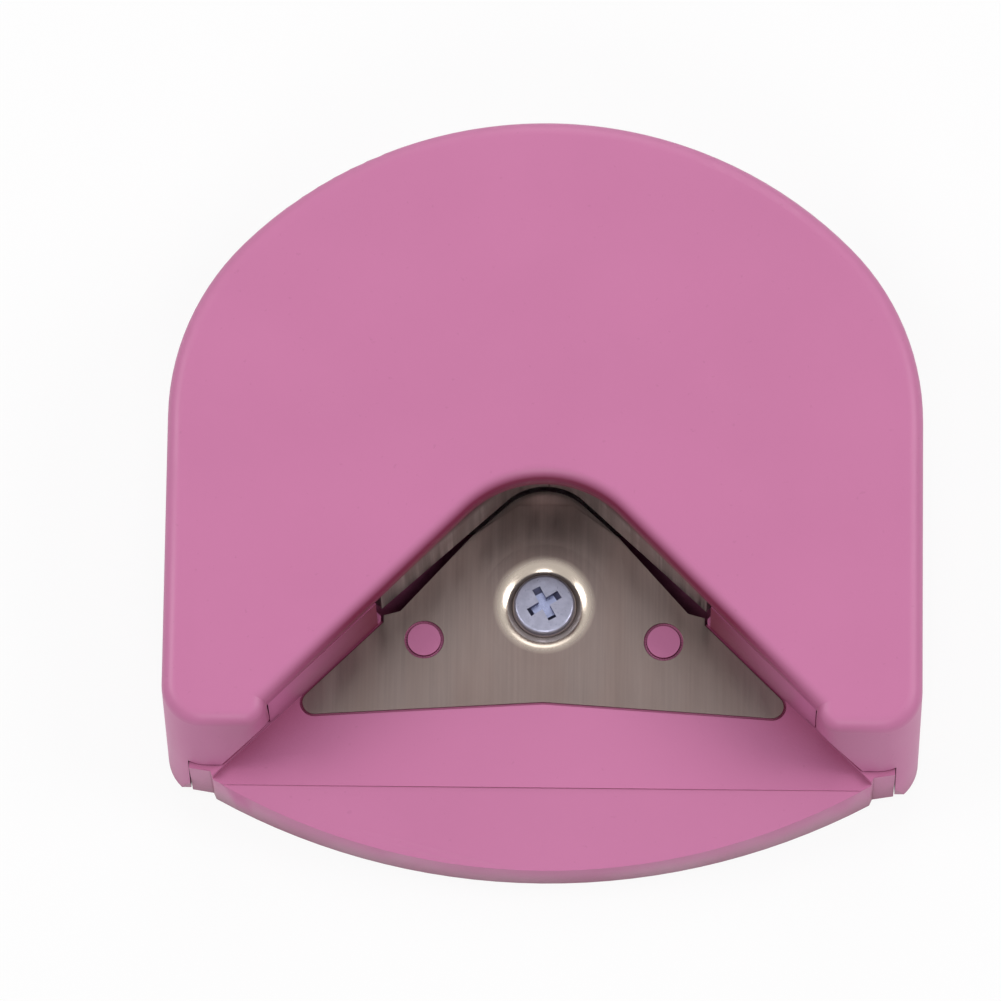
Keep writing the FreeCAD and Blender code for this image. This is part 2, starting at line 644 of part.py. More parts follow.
def make_cover():
    shell = prism(cover_outline(0.0, -REACH / 2.0), COVER_SKIRT_Z, COVER_TOP_Z)
    shell = shell.cut(prism(notch_outline(), -REACH, REACH)).cut(front_side(0.0))
    shell = shell.makeFillet(COVER_CORNER_R, front_corners(shell, COVER_HALF_W))
    shell = shell.makeFillet(COVER_LEG_CORNER_R, front_corners(shell, COVER_LEG_X))
    rim = [edge for edge in shell.Edges if edge.BoundBox.ZMin > COVER_TOP_Z - 0.01]
    shell = shell.makeFillet(COVER_EDGE_R, rim)
    shell = shell.cut(block(-REACH, REACH, -REACH, COVER_EAR_Y, -REACH, COVER_LEG_Z))
    outside = shell.copy()
    shell = shell.cut(prism(cover_outline(COVER_WALL, -REACH), -1.0, CEILING_Z))
    shell = shell.fuse(front_legs().common(outside)).cut(both_sides(leg_cut(0.0)))
    # rounded rib that pushes on the punch holder
    rib = Part.makeCylinder(RIB_R, 2 * RIB_HALF, vec(-RIB_HALF, RIB_Y, RIB_Z), vec(1, 0, 0))
    rib = rib.common(block(-REACH, REACH, 0.0, REACH, 0.0, CEILING_Z + 0.2))
    shell = shell.fuse(rib)
    # tongue that stops the cover in the slot of the base
    tongue = block(-TONGUE_HALF, TONGUE_HALF, TONGUE_IN_Y, COVER_BACK_Y - COVER_WALL / 2.0,
                   COVER_SKIRT_Z, COVER_SKIRT_Z + TONGUE_T)
    shell = shell.fuse(tongue).removeSplitter()
    shell = shell.cut(pivot_cylinder(PIVOT_R + PIVOT_PLAY, BASE_HALF_W, REACH))
    shell.rotate(vec(0, PIVOT_Y, PIVOT_Z), vec(1, 0, 0), OPEN_ANGLE)
    return shell


# ---------------------------------------------------------------- export
def main():
    os.makedirs("parts", exist_ok=True)
    nodes = {
        "base_body": make_base(),
        "die_plate": make_die_plate(),
        "die_screw": make_die_screw(),
        "punch_blade": make_blade(),
        "punch_holder": make_holder(),
        "punch_screws": make_punch_screws(),
        "guide_pin_left": make_guide_pin(-1),
        "guide_pin_right": make_guide_pin(1),
        "return_spring_left": make_spring(-1),
        "return_spring_right": make_spring(1),
        "pivot_pins": make_pivot_pins(),
        "bottom_plate": make_bottom_plate(),
        "bottom_screws": make_bottom_screws(),
        "press_cover": make_cover(),
    }
    for name, shape in nodes.items():
        shape.translate(SHIFT)
        shape.exportStep("parts/" + name + ".step")
        box = shape.BoundBox
        print(name, len(shape.Solids), shape.isValid(), "%.2f %.2f %.2f  %.2f %.2f %.2f" % (
            box.XMin, box.YMin, box.ZMin, box.XMax, box.YMax, box.ZMax))
    print("shift", SHIFT, "travel", PUNCH_TRAVEL, "holder top", HOLDER_TOP_Z)


main()
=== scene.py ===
"""Looks of the corner rounder: materials, small marks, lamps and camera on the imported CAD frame."""
import math

import bmesh
import bpy
from mathutils import Matrix, Vector


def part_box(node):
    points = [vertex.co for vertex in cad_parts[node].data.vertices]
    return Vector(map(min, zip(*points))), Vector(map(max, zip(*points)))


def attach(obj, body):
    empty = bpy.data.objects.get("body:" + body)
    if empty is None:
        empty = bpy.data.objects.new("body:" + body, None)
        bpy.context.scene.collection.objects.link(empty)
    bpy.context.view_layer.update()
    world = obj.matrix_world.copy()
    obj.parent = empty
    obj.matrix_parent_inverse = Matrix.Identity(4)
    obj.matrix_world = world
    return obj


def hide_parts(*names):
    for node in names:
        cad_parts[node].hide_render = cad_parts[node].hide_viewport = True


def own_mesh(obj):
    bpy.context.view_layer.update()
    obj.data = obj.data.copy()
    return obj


MM = 0.001

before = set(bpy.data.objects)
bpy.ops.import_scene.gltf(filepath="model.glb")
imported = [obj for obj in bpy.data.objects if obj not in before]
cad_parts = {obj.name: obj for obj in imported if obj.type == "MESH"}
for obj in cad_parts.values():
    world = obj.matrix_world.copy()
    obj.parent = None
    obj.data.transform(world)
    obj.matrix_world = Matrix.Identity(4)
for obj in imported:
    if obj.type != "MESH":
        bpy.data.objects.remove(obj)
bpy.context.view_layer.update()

# ---------------------------------------------------------------- places taken from the CAD
LIP_DEPTH = 5.75 * MM           # front of the lip to the crease of the ledge
BASE_LOW, BASE_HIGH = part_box("base_body")
PLATE_LOW, PLATE_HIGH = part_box("die_plate")
SCREW_LOW, SCREW_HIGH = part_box("die_screw")
CREASE_Y = BASE_LOW[1] + LIP_DEPTH
LEDGE_Z = PLATE_HIGH[2]
SCREW_X = (SCREW_LOW[0] + SCREW_HIGH[0]) / 2.0
SCREW_Y = (SCREW_LOW[1] + SCREW_HIGH[1]) / 2.0

BLADE_LOW, BLADE_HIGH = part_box("punch_blade")
PIN_AT = Vector((8.64 * MM, CREASE_Y + 11.04 * MM))     # locating pin on the right

# ---------------------------------------------------------------- screw of the die plate, mm
HEAD_R = 2.2
HEAD_HEIGHT = 0.8
HEAD_FLAT_R = 1.2
HEAD_RIM = [(0.0, -0.22), (0.04, -0.10), (0.11, -0.04), (0.22, -0.015)]     # in from the edge, height
HEAD_BEVEL = 0.04
SHANK_R = 1.0
RECESS_TURNS = (33.0, 118.0)    # degrees
RECESS_HALF_LENGTH = 1.30
RECESS_HALF_WIDTH = 0.31
RECESS_END_DEPTH = 0.15
RECESS_DEPTH = 0.50
RECESS_SLOPE = 0.35             # length of the slope at the end of each arm
CUTTER_ABOVE = 0.3

# ---------------------------------------------------------------- pressed ring round the screw, mm
RING_PROFILE = [                # radius from the screw, height above the plate
    (2.30, -0.47), (2.30, -0.43), (2.45, -0.31), (2.60, -0.21), (2.75, -0.135), (2.90, -0.075),
    (3.05, -0.028), (3.15, -0.003), (3.25, 0.015), (3.35, 0.025), (3.50, 0.030), (3.80, 0.022),
    (4.20, 0.009), (4.60, 0.0015), (4.60, -0.02), (3.30, -0.03),
]
RING_BRIGHT_R = 3.15            # painted sheen as far as this, plain brushed sheet from the next
RING_PLAIN_R = 3.75

# ---------------------------------------------------------------- fillers on the base, mm
PAD_HEIGHT = 0.6                # corner pads above the ledge
WALL_END = (18.95, 5.15)        # outer end of the right stop wall, from the middle and the crease
WALL_END_RUN = 0.61
WALL_END_TOP = 4.95             # above the ledge
CORNER_OUTLINE = [(1.50, 0.80), (0.0, 1.05), (0.0, 1.90), (0.70, 1.90), (1.60, 1.00)]   # in from the side, y
CORNER_PAST_SIDE = 0.05
SEAM_WIDTH = (-0.02, 0.20)      # pink floor of the gap, from the edge of the die plate
SEAM_DEPTH = (0.35, 0.16)
PIN_REACH = 2.0                 # edges this close to a locating pin belong to its hole
BLADE_CLEAR = 0.3               # the gap beside the punch stays open

# ---------------------------------------------------------------- punch and springs
GROUND_SEAM_X = 0.25 * MM       # line in the ground face of the punch
GROUND_SEAM_HALF_WIDTH = 0.07 * MM
GROUND_SEAM_Y = PLATE_HIGH[1] + 0.05 * MM       # the punch clears the die by this much

# ---------------------------------------------------------------- rounded edges, mm
EDGE_RADII = {
    "base_body": 0.14,
    "die_plate": 0.10,
    "punch_blade": 0.05,
    "punch_holder": 0.25,
    "bottom_plate": 0.2,
}
EDGE_ANGLE = math.radians(35.0)

# ---------------------------------------------------------------- camera
CAMERA_AZIMUTH = 3.7
CAMERA_ELEVATION = 71.65
CAMERA_ROLL = -2.97
CAMERA_DISTANCE = 0.6
PIXELS_PER_MM = 13.78           # at the target, in the picture of 1001 pixels
PICTURE = 1001
SENSOR = 36.0
TARGET = Vector((-3.29 * MM, CREASE_Y + 21.66 * MM, LEDGE_Z))

# ---------------------------------------------------------------- light
WORLD_LEVEL = 0.33
SOFTBOXES = {                   # place, diameter, watts
    "right_softbox": ((0.80, 0.10, 0.80), 0.6, 5.5),
    "left_softbox": ((-0.80, 0.10, 0.80), 0.6, 5.1),
    "rear_softbox": ((0.05, 0.95, 0.74), 0.9, 4.4),
    "front_softbox": ((0.0, -0.95, 1.00), 0.5, 5.4),
}
FLOOR_HALF = 3.0
FLOOR_GAP = 0.02 * MM           # below the base, so that the two never share a plane
FLOOR_COLOUR = (0.72, 0.70, 0.71)
FLOOR_GLOW = 0.90               # share of plain white that the camera sees in the floor
GLOW_FROM = 14.0 * MM           # none of it below the tool, this far from the middle
GLOW_FULL = 18.0 * MM

# ---------------------------------------------------------------- colours, linear
PINK = (0.455, 0.146, 0.288)
STEEL = (0.26, 0.204, 0.19)
GROUND_STEEL = (0.27, 0.22, 0.215)
ZINC = (0.32, 0.32, 0.41)
BRIGHT_STEEL = (0.60, 0.60, 0.61)
# painted highlight colour of the ring round the screw
PAINTED_RING_SHEEN = (0.50, 0.43, 0.365)
# painted shade on the upright walls of the cross recess and painted light on its floor: shaded and lit
# copies of the zinc
RECESS_WALL_PAINTED_SHADE = (0.09, 0.09, 0.15)
RECESS_FLOOR_PAINTED_LIGHT = (0.34, 0.37, 0.56)
DARK_LINE = (0.10, 0.08, 0.08)
PAINTED_PINK_REFLECTION = (0.07, 0.012, 0.025)    # painted reflection: the pink notch rim as mirrored in the punch close below it, also used as painted shade in its crevices

# ---------------------------------------------------------------- where painted shade turns the plastic deep pink
CREVICE_SHADE_REACH = 7.0 * MM        # in gaps narrower than this
BASE_RIM_SHADE = ((SCREW_X, SCREW_Y + 2.0 * MM, LEDGE_Z + 3.0 * MM), 13.0, 22.0)
COVER_RIM_SHADE = ((SCREW_X, SCREW_Y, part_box("press_cover")[1][2] - 3.0 * MM), 14.0, 27.0)


def shade(colour, factor):
    return tuple(min(1.0, channel * factor) for channel in colour) + (1.0,)


class Look:
    """One material with a principled surface, and the nodes that feed it."""

    def __init__(self, name, metallic=0.0):
        self.material = bpy.data.materials.new(name)
        self.material.use_nodes = True
        tree = self.material.node_tree
        self.nodes = tree.nodes
        self.links = tree.links
        self.surface = self.nodes["Principled BSDF"]
        self.surface.inputs["Metallic"].default_value = metallic
        self.place = self.nodes.new("ShaderNodeTexCoord").outputs["Object"]
        self.height = None

    def noise(self, per_mm, stretch=(1.0, 1.0, 1.0), detail=3.0, centre=(0.0, 0.0, 0.0)):
        """Noise with this many cells per millimetre; stretch divides each axis."""
        mapping = self.nodes.new("ShaderNodeMapping")
        mapping.inputs["Location"].default_value = centre
        mapping.inputs["Scale"].default_value = [per_mm / MM / axis for axis in stretch]
        texture = self.nodes.new("ShaderNodeTexNoise")
        texture.inputs["Scale"].default_value = 1.0
        texture.inputs["Detail"].default_value = detail
        self.links.new(self.place, mapping.inputs["Vector"])
        self.links.new(mapping.outputs["Vector"], texture.inputs["Vector"])
        return texture.outputs[0]

    def openness(self, low, high):
        """0 where the surface sees this little of the surroundings, 1 in the open."""
        node = self.nodes.new("ShaderNodeAmbientOcclusion")
        node.samples = 8
        node.inputs["Distance"].default_value = CREVICE_SHADE_REACH
        return self.remap(node.outputs["AO"], low, high, 0.0, 1.0)

    def times(self, first, second):
        node = self.nodes.new("ShaderNodeMath")
        node.operation = "MULTIPLY"
        self.links.new(first, node.inputs[0])
        self.links.new(second, node.inputs[1])
        return node.outputs[0]

    def distance(self, middle):
        node = self.nodes.new("ShaderNodeVectorMath")
        node.operation = "DISTANCE"
        node.inputs[1].default_value = middle
        self.links.new(self.place, node.inputs[0])
        return node.outputs["Value"]

    def along(self, axis, low, high, at_low=0.0, at_high=1.0):
        """at_low at this place on the axis, at_high at that one."""
        split = self.nodes.new("ShaderNodeSeparateXYZ")
        self.links.new(self.place, split.inputs[0])
        return self.remap(split.outputs[axis], low, high, at_low, at_high)

    def rim_share(self, middle, full, none):
        """1 on level faces and far from middle, towards 0 on faces that turn down close to it."""
        coordinates = self.nodes.new("ShaderNodeTexCoord")
        split = self.nodes.new("ShaderNodeSeparateXYZ")
        self.links.new(coordinates.outputs["Normal"], split.inputs[0])
        turned_down = self.remap(split.outputs["Z"], 0.45, 0.98, 1.0, 0.0)
        near = self.remap(self.distance(middle), full * MM, none * MM, 1.0, 0.0)
        return self.remap(self.times(turned_down, near), 0.0, 1.0, 1.0, 0.0)

    def remap(self, value, low, high, to_low, to_high):
        """value between low and high becomes to_low to to_high."""
        node = self.nodes.new("ShaderNodeMapRange")
        for name, number in (("From Min", low), ("From Max", high), ("To Min", to_low), ("To Max", to_high)):
            node.inputs[name].default_value = number
        self.links.new(value, node.inputs["Value"])
        return node.outputs[0]

    def blend(self, factor, first, second):
        """Colour between first and second; either may be a colour or a socket."""
        node = self.nodes.new("ShaderNodeMix")
        node.data_type = "RGBA"
        self.links.new(factor, node.inputs["Factor"])
        for socket, colour in ((node.inputs[6], first), (node.inputs[7], second)):
            if isinstance(colour, tuple):
                socket.default_value = colour
            else:
                self.links.new(colour, socket)
        return node.outputs[2]

    def colour(self, socket):
        self.links.new(socket, self.surface.inputs["Base Color"])

    def roughness(self, socket):
        self.links.new(socket, self.surface.inputs["Roughness"])

    def bump(self, value, depth_mm, strength=1.0):
        """Adds relief of this depth on top of the relief already there."""
        node = self.nodes.new("ShaderNodeBump")
        node.inputs["Strength"].default_value = strength
        node.inputs["Distance"].default_value = depth_mm * MM
        self.links.new(value, node.inputs["Height"])
        if self.height is not None:
            self.links.new(self.height, node.inputs["Normal"])
        self.height = node.outputs["Normal"]
        self.links.new(self.height, self.surface.inputs["Normal"])


# ---------------------------------------------------------------- materials
def moulded_plastic(name, colour, rough, rim=None):
    """Satin ABS: faint mottling, fine moulded grain, a few hair scratches and dull patches.

    rim is a place in the notch and two distances from it in mm: up to the first, faces that turn down get a
    painted deep pink shade, and from the second on they look like the rest. Crevices everywhere get the same
    painted shade.
    """
    look = Look(name)
    mottle = look.remap(look.noise(0.09, detail=4.0), 0.35, 0.65, 0.0, 1.0)
    tinted = look.blend(mottle, shade(colour, 0.985), shade(colour, 1.015))
    specks = look.remap(look.noise(2.2, detail=2.0), 0.70, 0.76, 0.0, 0.35)
    worn = look.blend(specks, tinted, shade(colour, 0.80))
    # painted shade: deep pink where the surface is closed in and on faces that turn down near the notch rim
    painted_shade_pink = (colour[0] * 0.32, colour[1] * 0.06, colour[2] * 0.14, 1.0)
    unshaded_share = look.openness(0.22, 0.76)
    if rim is not None:
        unshaded_share = look.times(unshaded_share, look.rim_share(*rim))
    look.colour(look.blend(unshaded_share, painted_shade_pink, worn))
    scratch = look.remap(look.noise(0.9, stretch=(14.0, 0.6, 3.0), detail=5.0), 0.66, 0.72, 0.0, 1.0)
    dull = look.remap(look.noise(0.14, detail=5.0), 0.3, 0.7, rough - 0.05, rough + 0.08)
    look.roughness(dull)
    look.bump(look.noise(5.0, detail=4.0), 0.012, 0.35)
    look.bump(scratch, 0.004, 0.4)
    look.surface.inputs["Specular IOR Level"].default_value = 0.35
    return look.material


def brushed_plate(name, colour, rough, pressed=None):
    """Rolled steel sheet, brushed from front to back, with rub marks and warm tarnish.

    pressed is the middle of a pressed ring; round it the sheet is smoother, and a brighter colour is painted
    there as a highlight.
    """
    look = Look(name, metallic=0.85)
    brush = look.noise(5.0, stretch=(1.0, 40.0, 6.0), detail=6.0)
    broad = look.noise(0.35, stretch=(1.0, 3.0, 1.0), detail=4.0)
    streak = look.remap(brush, 0.3, 0.7, 0.0, 1.0)
    base = look.blend(streak, shade(colour, 0.90), shade(colour, 1.08))
    warm = look.remap(broad, 0.35, 0.70, 0.0, 0.55)
    sheet = look.blend(warm, base, (colour[0] * 0.93, colour[1] * 0.84, colour[2] * 0.80, 1.0))
    # painted shade: the sheet is painted darker towards its front edge
    painted_front_shade = look.along("Y", PLATE_LOW[1] + 1.0 * MM, PLATE_HIGH[1] - 3.0 * MM, 0.60, 1.0)
    sheet = look.blend(painted_front_shade, shade(colour, 0.45), sheet)
    rubbed = look.noise(0.8, stretch=(1.0, 6.0, 1.0), detail=5.0)
    haze = look.remap(rubbed, 0.3, 0.7, rough - 0.06, rough + 0.08)
    if pressed is not None:
        plain = look.remap(look.distance(pressed), RING_BRIGHT_R * MM, RING_PLAIN_R * MM, 0.0, 1.0)
        # painted highlight: a brighter colour round the screw stands in for the sheen of the ring; the lower
        # roughness there is the sheet's own
        sheet = look.blend(plain, shade(PAINTED_RING_SHEEN, 1.0), sheet)
        haze = look.times(haze, look.remap(plain, 0.0, 1.0, 0.6, 1.0))
    look.colour(sheet)
    look.roughness(haze)
    look.bump(brush, 0.006, 0.5)
    look.bump(look.noise(0.6, detail=2.0), 0.03, 0.25)
    return look.material


def ground_blade(name, colour, rough):
    """Ground punch steel: lines that run up the cutting face, slightly stained, with a painted pink
    reflection near its top and painted shade in its crevices.
    """
    look = Look(name, metallic=0.85)
    lines = look.noise(4.0, stretch=(1.0, 1.0, 60.0), detail=6.0)
    stain = look.remap(look.noise(0.5, detail=4.0), 0.4, 0.75, 0.0, 0.7)
    base = look.blend(look.remap(lines, 0.3, 0.7, 0.0, 1.0), shade(colour, 0.55), shade(colour, 1.45))
    tinted = look.blend(stain, base, (colour[0] * 0.8, colour[1] * 0.66, colour[2] * 0.66, 1.0))
    # painted reflection of the pink rim near the top of the punch, and painted shade where the punch is
    # closed in
    painted_reflection = shade(PAINTED_PINK_REFLECTION, 1.0)
    top = BLADE_HIGH[2]
    painted_crevice_shade = look.blend(look.openness(0.10, 0.50), painted_reflection, tinted)
    look.colour(look.blend(look.along("Z", top - 1.6 * MM, top - 0.3 * MM), painted_crevice_shade, painted_reflection))
    look.roughness(look.remap(lines, 0.3, 0.7, rough - 0.08, rough + 0.1))
    look.bump(lines, 0.02, 0.6)
    return look.material


def plated(name, colour, rough):
    """Zinc plated or drawn steel: small pits, cloudy plating and fine turning marks."""
    look = Look(name, metallic=1.0)
    cloud = look.remap(look.noise(1.6, detail=5.0), 0.3, 0.7, 0.0, 1.0)
    base = look.blend(cloud, shade(colour, 0.86), shade(colour, 1.08))
    pits = look.remap(look.noise(7.0, detail=3.0), 0.64, 0.72, 0.0, 0.8)
    look.colour(look.blend(pits, base, shade(colour, 0.55)))
    look.roughness(look.remap(look.noise(3.0, detail=4.0), 0.3, 0.7, rough - 0.07, rough + 0.1))
    look.bump(look.noise(4.0, detail=4.0), 0.02, 0.5)
    return look.material


def dress_nodes():
    """Gives every CAD node its material, and adds the small pieces that share them."""
    body_pink = moulded_plastic("pink_abs", PINK, 0.42, BASE_RIM_SHADE)
    cover_pink = moulded_plastic("pink_abs_cover", PINK, 0.42, COVER_RIM_SHADE)
    under_pink = moulded_plastic("pink_abs_under", shade(PINK, 0.94)[:3], 0.5)
    plate = brushed_plate("brushed_die_steel", STEEL, 0.34)
    blade = ground_blade("ground_punch_steel", GROUND_STEEL, 0.42)
    zinc = plated("zinc_plate", ZINC, 0.36)
    bright = plated("bright_steel", BRIGHT_STEEL, 0.28)
    looks = {
        "base_body": body_pink,
        "press_cover": cover_pink,
        "punch_holder": under_pink,
        "bottom_plate": under_pink,
        "die_plate": plate,
        "punch_blade": blade,
        "die_screw": zinc,
        "punch_screws": zinc,
        "bottom_screws": zinc,
        "guide_pin_left": bright,
        "guide_pin_right": bright,
        "pivot_pins": bright,
        "return_spring_left": bright,
        "return_spring_right": bright,
    }
    for name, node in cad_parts.items():
        node.data.materials.clear()
        node.data.materials.append(looks[name])
    make_screw(zinc)
    make_dimple(brushed_plate("ring_painted_sheen", STEEL, 0.34, (SCREW_X, SCREW_Y, LEDGE_Z)))
    make_ground_seam(plated("dark_seam", DARK_LINE, 0.5))
    make_springs(bright)
    make_fills(body_pink)
    make_seam_floor(body_pink)


def add_bevel(piece, radius, segments):
    bevel = piece.modifiers.new("bevel", "BEVEL")
    bevel.width = radius * MM
    bevel.segments = segments
    bevel.limit_method = "ANGLE"
    bevel.angle_limit = EDGE_ANGLE
    return bevel


def break_edges():
    """Small rounded edges on the nodes whose solids have sharp ones."""
    for name, radius in EDGE_RADII.items():
        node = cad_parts[name]
        weld = node.modifiers.new("weld", "WELD")
        weld.merge_threshold = 0.001 * MM
        bevel = add_bevel(node, radius, 3)
        bevel.use_clamp_overlap = True
        bevel.harden_normals = True


# ---------------------------------------------------------------- small pieces the solids leave out
# Faces of a block whose eight points are listed x first, then y, then z.
BLOCK_FACES = ((0, 1, 3, 2), (4, 6, 7, 5), (0, 4, 5, 1), (2, 3, 7, 6), (0, 2, 6, 4), (1, 5, 7, 3))


def new_object(name, points, faces, material, body):
    """Mesh object with one material; with a body it moves with that body."""
    mesh = bpy.data.meshes.new(name)
    mesh.from_pydata(points, [], faces)
    mesh.materials.append(material)
    piece = bpy.data.objects.new(name, mesh)
    bpy.context.scene.collection.objects.link(piece)
    if body:
        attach(piece, body)
    return piece


def smooth(mesh, degrees=32.0):
    """Shades the mesh smooth, apart from edges sharper than this."""
    for face in mesh.polygons:
        face.use_smooth = True
    mesh.set_sharp_from_angle(angle=math.radians(degrees))


def turned(profile, centre, steps=96):
    """Points and faces of a closed profile of (radius, height) in mm, turned about an upright axis."""
    points = []
    for step in range(steps):
        angle = 2.0 * math.pi * step / steps
        for radius, height in profile:
            points.append((
                centre[0] + radius * MM * math.cos(angle),
                centre[1] + radius * MM * math.sin(angle),
                centre[2] + height * MM,
            ))
    rows = len(profile)
    faces = []
    for step in range(steps):
        here, there = step * rows, (step + 1) % steps * rows
        for row in range(rows):
            up = (row + 1) % rows
            faces.append((here + row, there + row, there + up, here + up))
    return points, faces


def carve(target, cutters):
    """Cuts the cutters out of the target for good and removes them."""
    for cutter in cutters:
        cut = target.modifiers.new("cut", "BOOLEAN")
        cut.solver = "EXACT"
        cut.object = cutter
    graph = bpy.context.evaluated_depsgraph_get()
    mesh = bpy.data.meshes.new_from_object(target.evaluated_get(graph))
    target.modifiers.clear()
    target.data = mesh
    for cutter in cutters:
        bpy.data.objects.remove(cutter)


def recess_cutter(turn, centre):
    """One straight bar of the cross recess, with sloping ends."""
    length = RECESS_HALF_LENGTH
    bend = length - RECESS_SLOPE
    side = [(-length, CUTTER_ABOVE), (-length, -RECESS_END_DEPTH), (-bend, -RECESS_DEPTH),
            (bend, -RECESS_DEPTH), (length, -RECESS_END_DEPTH), (length, CUTTER_ABOVE)]
    points = []
    for width in (-RECESS_HALF_WIDTH, RECESS_HALF_WIDTH):
        for along, height in side:
            x = along * math.cos(turn) - width * math.sin(turn)
            y = along * math.sin(turn) + width * math.cos(turn)
            points.append((centre[0] + x * MM, centre[1] + y * MM, centre[2] + height * MM))
    count = len(side)
    faces = [tuple(range(count)), tuple(range(2 * count - 1, count - 1, -1))]
    for index in range(count):
        after = (index + 1) % count
        faces.append((index, count + index, count + after, after))
    return new_object("cutter", points, faces, None, None)


def corner_blocks(name, outline, low, high, material):
    """Upright block on the right of the base and its mirror image on the left.

    outline runs anticlockwise seen from above, in metres.
    """
    count = len(outline)
    points, faces = [], []
    for side in (1, -1):
        start = len(points)
        for z in (low, high):
            points.extend((side * x, y, z) for x, y in outline)
        ring = list(range(count))
        block = [tuple(start + i for i in reversed(ring)), tuple(start + count + i for i in ring)]
        for i in ring:
            after = (i + 1) % count
            block.append((start + i, start + after, start + count + after, start + count + i))
        faces.extend(face if side > 0 else tuple(reversed(face)) for face in block)
    new_object(name, points, faces, material, "base")


def make_fills(material):
    """Ends of the stop walls beside the legs, and the base corners beside the ears."""
    pad_z = LEDGE_Z + PAD_HEIGHT * MM
    wall_x, wall_y = WALL_END[0] * MM, CREASE_Y + WALL_END[1] * MM
    run = WALL_END_RUN * MM
    wall_end = [(wall_x, wall_y), (wall_x + run, wall_y - run), (wall_x + run, wall_y + run)]
    corner_blocks("stop_wall_ends", wall_end, pad_z - 0.1 * MM, LEDGE_Z + WALL_END_TOP * MM, material)
    side_x = BASE_HIGH[0] + CORNER_PAST_SIDE * MM
    corner = [(side_x - inwards * MM, CREASE_Y + y * MM) for inwards, y in CORNER_OUTLINE]
    corner_blocks("base_corners", corner, BASE_LOW[2] + 0.05 * MM, pad_z - 0.04 * MM, material)


def make_screw(material):
    """Pan head with a rounded rim and a cross recess, in place of the plain solid."""
    top = (SCREW_X, SCREW_Y, SCREW_HIGH[2])
    tip = (SCREW_LOW[2] - SCREW_HIGH[2]) / MM
    profile = [(SHANK_R, tip), (SHANK_R, -HEAD_HEIGHT), (HEAD_R, -HEAD_HEIGHT)]
    profile += [(HEAD_R - inwards, height) for inwards, height in HEAD_RIM]
    profile.append((HEAD_FLAT_R, 0.0))
    points, faces = turned(profile, top)
    rows = len(profile)
    steps = len(points) // rows
    # flat ends in place of the faces that close the profile
    faces = [face for face in faces if face[0] % rows != rows - 1]
    faces.append(tuple(step * rows for step in range(steps)))
    faces.append(tuple(step * rows + rows - 1 for step in reversed(range(steps))))
    screw = new_object("die_screw_head", points, faces, material, None)
    carve(screw, [recess_cutter(math.radians(turn), top) for turn in RECESS_TURNS])
    smooth(screw.data)
    # painted shade on the walls of the recess and painted light on its floor
    screw.data.materials.append(plated("recess_wall_painted_shade", RECESS_WALL_PAINTED_SHADE, 0.5))
    screw.data.materials.append(plated("recess_floor_painted_light", RECESS_FLOOR_PAINTED_LIGHT, 0.3))
    for face in screw.data.polygons:
        place = face.center - Vector(top)
        in_recess = place.xy.length < 1.4 * MM and -0.6 * MM < place.z < -0.02 * MM
        if in_recess:
            face.material_index = 2 if face.normal.z > 0.9 else 1
    add_bevel(screw, HEAD_BEVEL, 2)
    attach(screw, "base")
    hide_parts("die_screw")


def make_dimple(material):
    """Pressed ring round the screw: the plate dips to the head over a rounded shoulder."""
    points, faces = turned(RING_PROFILE, (SCREW_X, SCREW_Y, LEDGE_Z))
    ring = new_object("die_dimple_ring", points, faces, material, "base")
    smooth(ring.data, 60.0)


def make_springs(material):
    """The CAD springs again, as pieces of their own that go with the base."""
    for side in ("left", "right"):
        node_name = "return_spring_" + side
        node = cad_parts[node_name]
        mesh = node.data.copy()
        mesh.transform(node.matrix_world)
        mesh.materials.clear()
        mesh.materials.append(material)
        spring = bpy.data.objects.new("coil_" + side, mesh)
        bpy.context.scene.collection.objects.link(spring)
        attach(spring, "base")
        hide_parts(node_name)
        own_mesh(spring)


def in_open_gap(edge, out):
    """Whether an edge of the die plate faces a gap that may be shallow, clear of the punch."""
    middle = (edge.verts[0].co + edge.verts[1].co) / 2.0
    at_pin = (Vector((abs(middle.x), middle.y)) - PIN_AT).length < PIN_REACH * MM
    faces_front = out.y <= -0.5
    beside_punch = abs(middle.x) < BLADE_HIGH[0] + BLADE_CLEAR * MM
    return at_pin or faces_front or not beside_punch


def make_seam_floor(material):
    """Shallow pink floor in the gap round the front edges and ends of the die plate, and round its pins."""
    form = bmesh.new()
    form.from_mesh(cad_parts["die_plate"].data)
    bmesh.ops.remove_doubles(form, verts=form.verts, dist=0.001 * MM)
    points, faces = [], []
    for edge in form.edges:
        if len(edge.link_faces) != 2 or any(abs(v.co.z - LEDGE_Z) > 0.01 * MM for v in edge.verts):
            continue
        upright = [face for face in edge.link_faces if abs(face.normal.z) < 0.1]
        if len(upright) != 1:
            continue
        out = upright[0].normal
        if not in_open_gap(edge, out):
            continue
        start = len(points)
        for reach in SEAM_WIDTH:
            for drop in SEAM_DEPTH:
                for vert in edge.verts:
                    points.append(tuple(vert.co + out * reach * MM - Vector((0.0, 0.0, drop * MM))))
        faces.extend(tuple(start + i for i in face) for face in BLOCK_FACES)
    form.free()
    seam = new_object("die_seam_floor", points, faces, material, "base")
    form = bmesh.new()
    form.from_mesh(seam.data)
    bmesh.ops.recalc_face_normals(form, faces=form.faces)
    form.to_mesh(seam.data)
    form.free()


def make_ground_seam(material):
    """Dark upright line that grinding left in the middle of the cutting face."""
    points = [
        (x, y, z)
        for x in (GROUND_SEAM_X - GROUND_SEAM_HALF_WIDTH, GROUND_SEAM_X + GROUND_SEAM_HALF_WIDTH)
        for y in (GROUND_SEAM_Y - 0.04 * MM, GROUND_SEAM_Y + 0.2 * MM)
        for z in (BLADE_LOW[2] + 0.05 * MM, BLADE_HIGH[2] - 0.2 * MM)
    ]
    new_object("punch_seam", points, BLOCK_FACES, material, "punch")


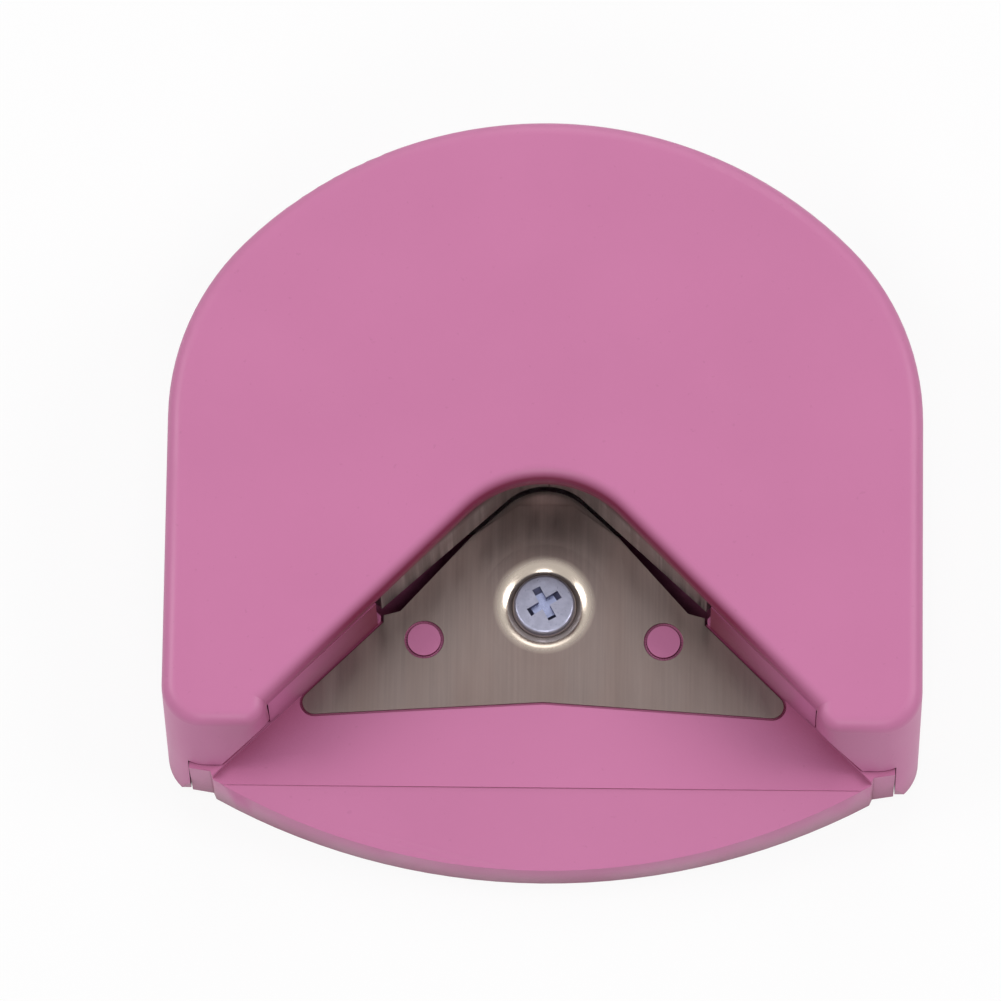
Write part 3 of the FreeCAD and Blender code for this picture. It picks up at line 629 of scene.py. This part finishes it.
# ---------------------------------------------------------------- camera, lamps and floor
def make_camera():
    azimuth = math.radians(CAMERA_AZIMUTH)
    elevation = math.radians(CAMERA_ELEVATION)
    back = Vector((
        math.sin(azimuth) * math.cos(elevation),
        -math.cos(azimuth) * math.cos(elevation),
        math.sin(elevation),
    ))
    data = bpy.data.cameras.new("camera")
    data.sensor_width = SENSOR
    data.lens = PIXELS_PER_MM * CAMERA_DISTANCE / MM / PICTURE * SENSOR
    data.clip_start = 0.01
    data.clip_end = 10.0
    camera = bpy.data.objects.new("camera", data)
    bpy.context.scene.collection.objects.link(camera)
    turn = back.to_track_quat("Z", "Y").to_matrix()
    roll = Matrix.Rotation(math.radians(CAMERA_ROLL), 3, "Z")
    camera.matrix_world = Matrix.Translation(TARGET + back * CAMERA_DISTANCE) @ (turn @ roll).to_4x4()
    bpy.context.scene.camera = camera


def direct_view(nodes, links):
    """1 for what the camera sees straight, in a reflection or through something clear."""
    rays = nodes.new("ShaderNodeLightPath")
    seen = rays.outputs["Is Camera Ray"]
    for name in ("Is Glossy Ray", "Is Transmission Ray"):
        either = nodes.new("ShaderNodeMath")
        either.operation = "MAXIMUM"
        links.new(seen, either.inputs[0])
        links.new(rays.outputs[name], either.inputs[1])
        seen = either.outputs[0]
    return seen


def make_floor():
    """Pale floor that catches the shadow; past the tool it shows as nearly plain white."""
    mesh = bpy.data.meshes.new("floor")
    half = FLOOR_HALF
    corners = [(-half, -half, 0), (half, -half, 0), (half, half, 0), (-half, half, 0)]
    mesh.from_pydata(corners, [], [(0, 1, 2, 3)])
    floor = bpy.data.objects.new("floor", mesh)
    bpy.context.scene.collection.objects.link(floor)
    floor.location.z = -FLOOR_GAP
    look = Look("pale_floor")
    look.surface.inputs["Base Color"].default_value = FLOOR_COLOUR + (1.0,)
    look.surface.inputs["Roughness"].default_value = 0.9
    look.surface.inputs["Specular IOR Level"].default_value = 0.0
    glow = look.nodes.new("ShaderNodeEmission")
    mix = look.nodes.new("ShaderNodeMixShader")
    reach = look.nodes.new("ShaderNodeVectorMath")
    reach.operation = "LENGTH"
    look.links.new(look.place, reach.inputs[0])
    outside = look.remap(reach.outputs["Value"], GLOW_FROM, GLOW_FULL, 0.0, FLOOR_GLOW)
    share = look.nodes.new("ShaderNodeMath")
    share.operation = "MULTIPLY"
    look.links.new(outside, share.inputs[0])
    look.links.new(direct_view(look.nodes, look.links), share.inputs[1])
    look.links.new(share.outputs[0], mix.inputs[0])
    look.links.new(look.surface.outputs[0], mix.inputs[1])
    look.links.new(glow.outputs[0], mix.inputs[2])
    look.links.new(mix.outputs[0], look.nodes["Material Output"].inputs["Surface"])
    mesh.materials.append(look.material)


def make_world():
    """Even pale light from all round; the camera and shiny surfaces see plain white."""
    world = bpy.data.worlds.new("studio")
    bpy.context.scene.world = world
    world.use_nodes = True
    nodes = world.node_tree.nodes
    links = world.node_tree.links
    light = nodes["Background"]
    light.inputs["Color"].default_value = (1.0, 1.0, 1.0, 1.0)
    level = nodes.new("ShaderNodeMapRange")
    level.inputs["To Min"].default_value = WORLD_LEVEL
    level.inputs["To Max"].default_value = 1.0
    links.new(direct_view(nodes, links), level.inputs["Value"])
    links.new(level.outputs[0], light.inputs["Strength"])


def area_lamp(name, place, size, watts):
    """Round softbox at that place, turned towards the tool."""
    data = bpy.data.lights.new(name, "AREA")
    data.shape = "DISK"
    data.size = size
    data.energy = watts
    lamp = bpy.data.objects.new(name, data)
    bpy.context.scene.collection.objects.link(lamp)
    lamp.location = place
    lamp.rotation_euler = (-Vector(place)).to_track_quat("-Z", "Y").to_euler()


# ---------------------------------------------------------------- run
bpy.context.scene.view_settings.view_transform = "Standard"
dress_nodes()
break_edges()
make_camera()
make_floor()
make_world()
for lamp_name, (lamp_place, lamp_size, lamp_watts) in SOFTBOXES.items():
    area_lamp(lamp_name, lamp_place, lamp_size, lamp_watts)
